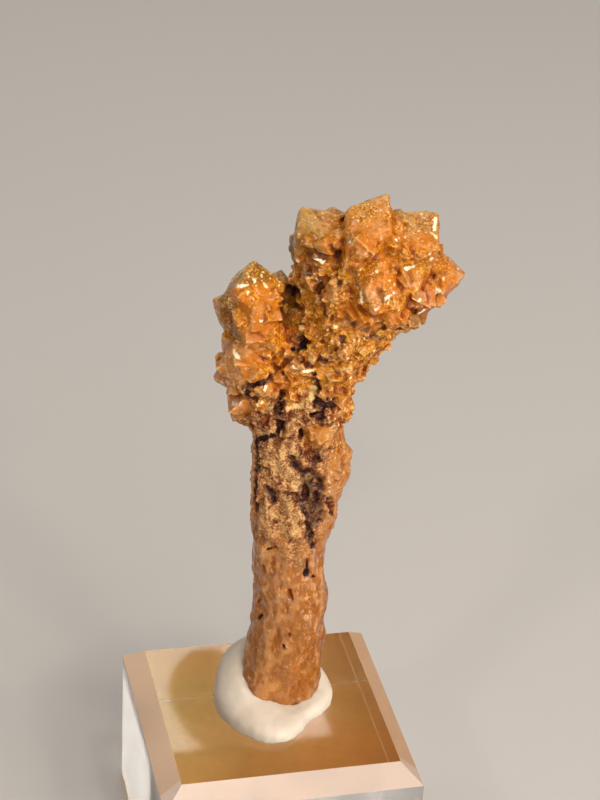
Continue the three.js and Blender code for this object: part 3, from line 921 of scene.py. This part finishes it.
def heads_colour(n):
    """Amber at the crystals' feet and peach at their tips, with stains, painted shade on faces that look
    up or down, painted highlights on the edges, and specks of painted glint and of brown.
    """
    shade = n.ramp(n.axis("X", n.cells(n.at, 620)), 0, 1)
    amber = n.mix(n.ramp(n.cloud, 0.35, 0.65), rgb(182, 92, 0), rgb(220, 140, 6))
    amber = n.mix(n.times(shade, 0.7), amber, rgb(222, 148, 34))
    peach = n.mix(n.ramp(n.grain, 0.35, 0.65), rgb(190, 112, 50), rgb(212, 140, 80))
    peach = n.mix(n.times(shade, 0.6), peach, rgb(220, 160, 102))
    tip = n.plus(
        n.ramp(n.reach, 5.2, 8, 0, 0.5),
        n.ramp(n.far, 0.7, 0.93, 0, 0.5),
        n.ramp(n.facing, -0.1, 0.8, 0, 0.15),
        n.swing(n.cloud, 1.7),
        n.ramp(n.near, 0.88, 1, 0, 0.3),
        n.times(n.bare, 0.2),
        n.ramp(n.up, FORK - 0.08, FORK, 0.6, 0),
    )
    heads = n.mix(n.ramp(tip, 0.35, 0.95), amber, peach)
    # Painted shade: faces that look up and faces that look down are browner.
    heads = n.mix(n.ramp(n.facing, 0.1, 0.7, 0, 0.45), heads, rgb(146, 92, 40))
    heads = n.mix(n.ramp(n.facing, -0.5, 0.1, 0.5, 0), heads, rgb(134, 72, 14))
    gold = n.marking("gold", 1.2, 0, 0.4)
    heads = n.mix(n.times(gold, 0.9), heads, rgb(200, 112, 0))
    heads = n.mix(n.times(n.marking("olive", 1, 0.1, 0.5), 0.85), heads, rgb(132, 84, 2))
    # Painted highlight: pale on the sharpest edges, less where gold lies.
    painted_edge_glint = n.times(n.ramp(n.near, 0.92, 1, 0, 0.75), n.ramp(gold, 0, 1, 1, 0.5))
    heads = n.mix(painted_edge_glint, heads, rgb(248, 200, 128))
    patch = n.times(
        n.rough_skin, n.ramp(n.noise(n.at, 380, 2), 0.4, 0.6, 0.2, 1),
        n.ramp(n.bare, 0, 1, 1, 0.25),
    )
    # Painted glints: pale gold specks in patches.
    bright = n.times(patch, n.ramp(n.sparkle, 0.53, 0.61, 0, 0.85))
    heads = n.mix(bright, heads, rgb(246, 190, 84))
    brown = n.times(patch, n.ramp(n.sparkle, 0.39, 0.47, 0.8, 0))
    heads = n.mix(brown, heads, rgb(136, 66, 6))
    return n.mix(n.ramp(n.up, FORK - 0.02, FORK + 0.02, 0.5, 0), heads, rgb(176, 112, 54))


def stalk_colour(n):
    """Waxy brown, with upright flecks that are partly painted highlight, hair cracks, and painted
    highlight on edges and bumps.
    """
    wax = n.mix(n.ramp(n.cloud, 0.35, 0.65), rgb(150, 84, 22), rgb(180, 110, 42))
    wax = n.mix(n.ramp(n.fleck, 0.36, 0.5, 0.35, 0), wax, rgb(126, 66, 16))
    fine = n.noise(n.upright, 2300, 3, 0.65)
    # Pale flecks, partly real and partly painted highlight, more of them up the stalk.
    pale_fleck_and_glint = n.times(n.ramp(fine, 0.55, 0.66), n.ramp(n.up, 0.02, 0.25, 0.35, 0.9))
    wax = n.mix(pale_fleck_and_glint, wax, rgb(224, 158, 98))
    wax = n.mix(n.ramp(fine, 0.34, 0.44, 0.6, 0), wax, rgb(122, 60, 14))
    crack = n.math("SUBTRACT", n.noise(n.stretched(0.3), 900, 3, 0.6), 0.5)
    crack = n.ramp(n.math("ABSOLUTE", crack), 0.004, 0.016, 0.6, 0)
    wax = n.mix(n.times(crack, n.ramp(n.cloud, 0.45, 0.55)), wax, rgb(112, 52, 14))
    # Painted highlight: paler on edges and bumps.
    return n.mix(n.ramp(n.near, 0.9, 1, 0, 0.7), wax, rgb(226, 166, 108))


def crust_colour(n):
    """Cream flakes on red-brown, with the darkest brown between them."""
    cream = n.mix(n.ramp(n.grain, 0.35, 0.6), rgb(180, 122, 66), rgb(226, 182, 122))
    tatter = n.plus(
        n.noise(n.at, 1300, 5, 0.8, 0.6), n.swing(n.fleck, 0.6),
        n.times(n.marking("pale", 1.8, 0, 0.6), 0.08),
    )
    flaky = n.mix(n.ramp(tatter, 0.5, 0.6), rgb(156, 88, 40), cream)
    flaky = n.mix(n.ramp(n.sparkle, 0.54, 0.61, 0, 0.6), flaky, rgb(246, 210, 146))
    flaky = n.mix(n.ramp(n.sparkle, 0.39, 0.46, 0.65, 0), flaky, rgb(96, 42, 24))
    return n.mix(n.ramp(tatter, 0.37, 0.46), rgb(74, 26, 20), flaky)


def darkened(n, body):
    """The colour with crevices of iron staining and painted shade, painted shade in the gaps, stains,
    pits, and how dull they leave the surface.
    """
    # Crevices go red-brown, partly iron staining and partly painted shade.
    body = n.mix(n.ramp(n.near, 0.6, 0.83, 0.94, 0), body, rgb(138, 58, 0))
    # Darkest deep in the crevices, partly iron staining and partly painted shade.
    deep = n.most(n.ramp(n.near, 0.25, 0.56, 0.9, 0), n.ramp(n.far, 0.15, 0.5, 0.7, 0))
    body = n.mix(deep, body, rgb(74, 24, 0))
    # Painted shade in the gaps between crystals, strongest in hollows.
    gap = n.times(n.marking("gap", 2.2, 0.1, 0.5), n.ramp(n.near, 0.75, 0.97, 0.95, 0.45))
    body = n.mix(gap, body, n.mix(n.ramp(n.grain, 0.4, 0.6), rgb(54, 16, 8), rgb(104, 42, 12)))
    sunk = n.plus(n.ramp(n.near, 0.72, 0.95, 1, 0.4), n.times(n.crust, 0.2))
    dark = n.times(n.marking("dark", 2.6, 0.1, 0.4), n.math("MINIMUM", sunk, 1))
    body = n.mix(dark, body, n.mix(n.ramp(n.grain, 0.48, 0.66), rgb(32, 8, 8), rgb(88, 36, 24)))
    pit = n.marking("pit", 0.9, 0.25, 0.5)
    body = n.mix(pit, body, rgb(32, 11, 8))
    return body, n.most(dark, pit, n.times(n.crust, 0.8), deep)


def painted_glints(n, dull):
    """How much painted glint each place gets: pale spots in patches, on open surfaces that aren't dull."""
    warp = n.noise(n.at, 900, 1, output="Color")
    warped = n.vector("ADD", n.at, b=n.vector("SCALE", warp, scale=0.0012))
    flash = 0
    for scale, size, empty in GLINT_SPOTS:
        has_glint_spot = n.math("GREATER_THAN", n.axis("X", n.cells(warped, scale)), empty)
        glint_spot = n.ramp(n.cells(warped, scale, "Distance"), 0.6 * size, size, 1, 0)
        flash = n.most(flash, n.times(has_glint_spot, glint_spot))
    return n.times(
        flash, n.ramp(n.near, 0.8, 0.88), n.ramp(n.bare, 0, 1, 1, 0.55),
        n.ramp(n.noise(n.at, 330, 2), 0.4, 0.54, 0.25, 1),
        n.times(n.rough_skin, n.math("SUBTRACT", 1, dull)),
    )


def gloss_of(n, dull):
    """Some facets are polished, bare faces shine a little, and dull places hardly."""
    facet = n.axis("Y", n.cells(n.at, 1 / (GLINT_WIDTH * MM)))
    gloss = n.most(n.math("GREATER_THAN", facet, 0.6), n.ramp(n.bare, 0, 1, 0.15, 0.35))
    return n.times(gloss, n.ramp(dull, 0, 1, 1, 0.15))


def calcite_material():
    """A waxy stalk, a flaky crust on its upper part, and glinting crystals on the heads."""
    n = CalciteNodes()
    body = n.mix(n.ramp(n.up, 0.33, 0.39), stalk_colour(n), heads_colour(n))
    body, dull = darkened(n, n.mix(n.crust, body, crust_colour(n)))
    # Painted glints: pale spots over the colour.
    body = n.mix(n.times(painted_glints(n, dull), 0.95), body, rgb(255, 236, 172))
    body = n.mix(n.marking("cream", 2.4, 0.3, 0.6), body, rgb(228, 192, 126))
    # Painted highlights along the crystals' edges.
    body = n.mix(n.marking("bright", 1.6, 0.5, 0.66), body, rgb(255, 242, 206))
    shape = n.tilted_facets(0.9, n.times(n.rough_skin, 0.2))
    shape = n.tilted_facets(0.32, n.times(n.rough_skin, 0.35), shape)
    return n.finish(
        Base_Color=body, Roughness=n.ramp(dull, 0, 1, 0.4, 0.65), IOR=1.5, Subsurface_Weight=0.3,
        Subsurface_Radius=(1, 0.5, 0.12), Subsurface_Scale=0.0006, Transmission_Weight=0.2,
        Coat_Weight=gloss_of(n, dull), Coat_Roughness=0.14, Coat_IOR=1.5, Specular_IOR_Level=0.06,
        Normal=shape, Coat_Normal=n.tilted_facets(GLINT_WIDTH, n.rough_skin),
    )


# -------------------------------- the block and its paper

# The upward part of a bevel's normal, and how far in from the front side, in mm, its bevel reaches.
BEVEL_LEVEL = 0.74
BEVEL_REACH = 3


def wear(node, material):
    """A CAD node keeps its mesh and gets a better material."""
    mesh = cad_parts[node].data
    mesh.materials.clear()
    mesh.materials.append(material)


def clear_acrylic():
    """Clear and polished on top, with painted reflection on the bevels, milky pale on the front one and
    paper brown on the others, a little cloudy on the front and left sides, and tinted grey on the left as
    painted shade."""
    n = Nodes("clear_acrylic")
    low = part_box("acrylic_block")[0]
    across, deep, up = (n.axis(letter, n.at) for letter in "XYZ")
    level = n.math("ABSOLUTE", n.axis("Z", n.normal()))
    slope = n.math("ABSOLUTE", n.math("SUBTRACT", level, BEVEL_LEVEL))
    bevel = n.ramp(slope, 0.08, 0.16, 1, 0)
    left = n.ramp(across, low[0], low[0] + 0.1 * MM, 1, 0)
    front = n.ramp(deep, low[1], low[1] + 0.1 * MM, 1, 0)
    side = n.times(n.most(left, front), n.ramp(level, 0.1, 0.3, 1, 0))
    smear = n.noise(n.at, 180, 4, 0.65)
    front_bevel = n.ramp(
        deep, low[1] + BEVEL_REACH * MM, low[1] + (BEVEL_REACH + 0.3) * MM, 1, 0
    )
    # Painted reflection on the bevels: milky pale on the front one, paper brown on the others.
    painted_bevel_reflection = n.mix(front_bevel, rgb(190, 144, 98), rgb(206, 183, 168))
    painted_bevel_reflection = n.mix(n.times(smear, 0.5), painted_bevel_reflection, rgb(214, 176, 140))
    # Painted shade: the left side is tinted grey, which darkens it.
    tint = n.mix(left, (0.985, 0.98, 0.97, 1), (0.62, 0.59, 0.56, 1))
    tint = n.mix(bevel, tint, painted_bevel_reflection)
    cloud = n.most(
        n.times(bevel, n.ramp(smear, 0.3, 0.7, 0.55, 0.8)),
        n.times(side, n.ramp(smear, 0.35, 0.7, 0.02, 0.16)),
    )
    under = n.ramp(up, low[2] + 0.02 * MM, low[2] + 0.1 * MM, 0.1, 0)
    rough = n.most(n.times(bevel, 0.3), n.times(side, 0.2), under)
    return n.finish(
        Base_Color=tint, Roughness=rough, IOR=1.49, Transmission_Weight=n.math("SUBTRACT", 1, cloud),
    )


def brown_paper():
    """Kraft paper, with painted light that makes it palest at its back left corner."""
    n = Nodes("brown_paper")
    cloud = n.noise(n.at, 90, 3, 0.6)
    fibre = n.noise(n.at, 900, 2, 0.6)
    # Painted light: paler toward the back left corner.
    back_left = n.math("SUBTRACT", n.axis("Y", n.at), n.axis("X", n.at))
    pale = n.plus(n.ramp(back_left, -0.012, 0.022), n.swing(cloud, 0.4))
    base = n.mix(pale, rgb(255, 170, 80), rgb(255, 212, 128))
    base = n.mix(n.times(fibre, 0.25), base, rgb(170, 104, 44))
    return n.finish(
        Base_Color=base, Roughness=0.75, Specular_IOR_Level=0.1, Normal=n.bump(fibre, 0.0001, 0.4)
    )


# -------------------------------- the tack

# The voxels, in mm, of the tack's skin, and how often it is smoothed.
TACK_VOXEL = 0.25
TACK_ROUNDS = 3
# How deep, in mm, the tack is pressed into the stone, and how high it stands over the block's top.
PRESSED_IN = 0.1
STANDS_OFF = 0.01
# From how far off, in mm, the pull to the stone and to the block's top is less than whole, and from
# how far off there is none.
STONE_PULL = (0.4, 1.1)
BLOCK_PULL = (0.3, 1)


def pressed_tack():
    """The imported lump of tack, pressed down onto the block and in against the stalk."""
    places, triangles = arrays_of(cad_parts["mineral_tack"].data)
    tack = object_from("tack", places, triangles.tolist())
    mesh = remesh(tack, TACK_VOXEL)
    block_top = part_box("acrylic_block")[1][2]
    stone = tree_of(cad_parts["calcite"].data)
    for vertex in mesh.vertices:
        nearest, _, _, away = stone.find_nearest(vertex.co)
        pull = 1 - float(smooth_step(*STONE_PULL, away / MM))
        vertex.co += (nearest - vertex.co).normalized() * pull * (away + PRESSED_IN * MM)
        above = (vertex.co.z - block_top) / MM
        vertex.co.z -= MM * (above - STANDS_OFF) * (1 - float(smooth_step(*BLOCK_PULL, above)))
    mesh.update()
    soften(tack, TACK_ROUNDS)
    push(tack, lambda points: 0.16 * noise(points, 2.4, 9) + 0.05 * noise(points, 0.9, 10))
    tack.data.shade_smooth()
    return tack


def tack_material():
    """Off-white putty, with painted shade that darkens its left side."""
    n = Nodes("tack")
    cloud = n.noise(n.at, 260, 3, 0.6)
    fine = n.noise(n.at, 2400, 2, 0.6)
    base = n.mix(n.ramp(cloud, 0.3, 0.7), rgb(206, 190, 170), rgb(216, 202, 185))
    # Painted shade: the side that looks left is darker.
    painted_left_shade = n.ramp(n.axis("X", n.normal()), -0.9, 0, 0.55, 0)
    base = n.mix(painted_left_shade, base, rgb(150, 132, 114))
    return n.finish(
        Base_Color=base, Roughness=n.ramp(fine, 0.3, 0.7, 0.45, 0.62), Subsurface_Weight=0.25,
        Subsurface_Radius=(1, 0.8, 0.6), Subsurface_Scale=0.001,
        Normal=n.bump(fine, 0.00006, 0.35),
    )


# -------------------------------- the scene

make_camera()
make_stage()
make_light()
wear("acrylic_block", clear_acrylic())
wear("backing_paper", brown_paper())
tack = pressed_tack()
tack.data.materials.append(tack_material())
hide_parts("mineral_tack")
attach(tack, "root")
calcite = grown_calcite()
calcite.data.materials.append(calcite_material())
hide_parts("calcite")
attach(calcite, "root")
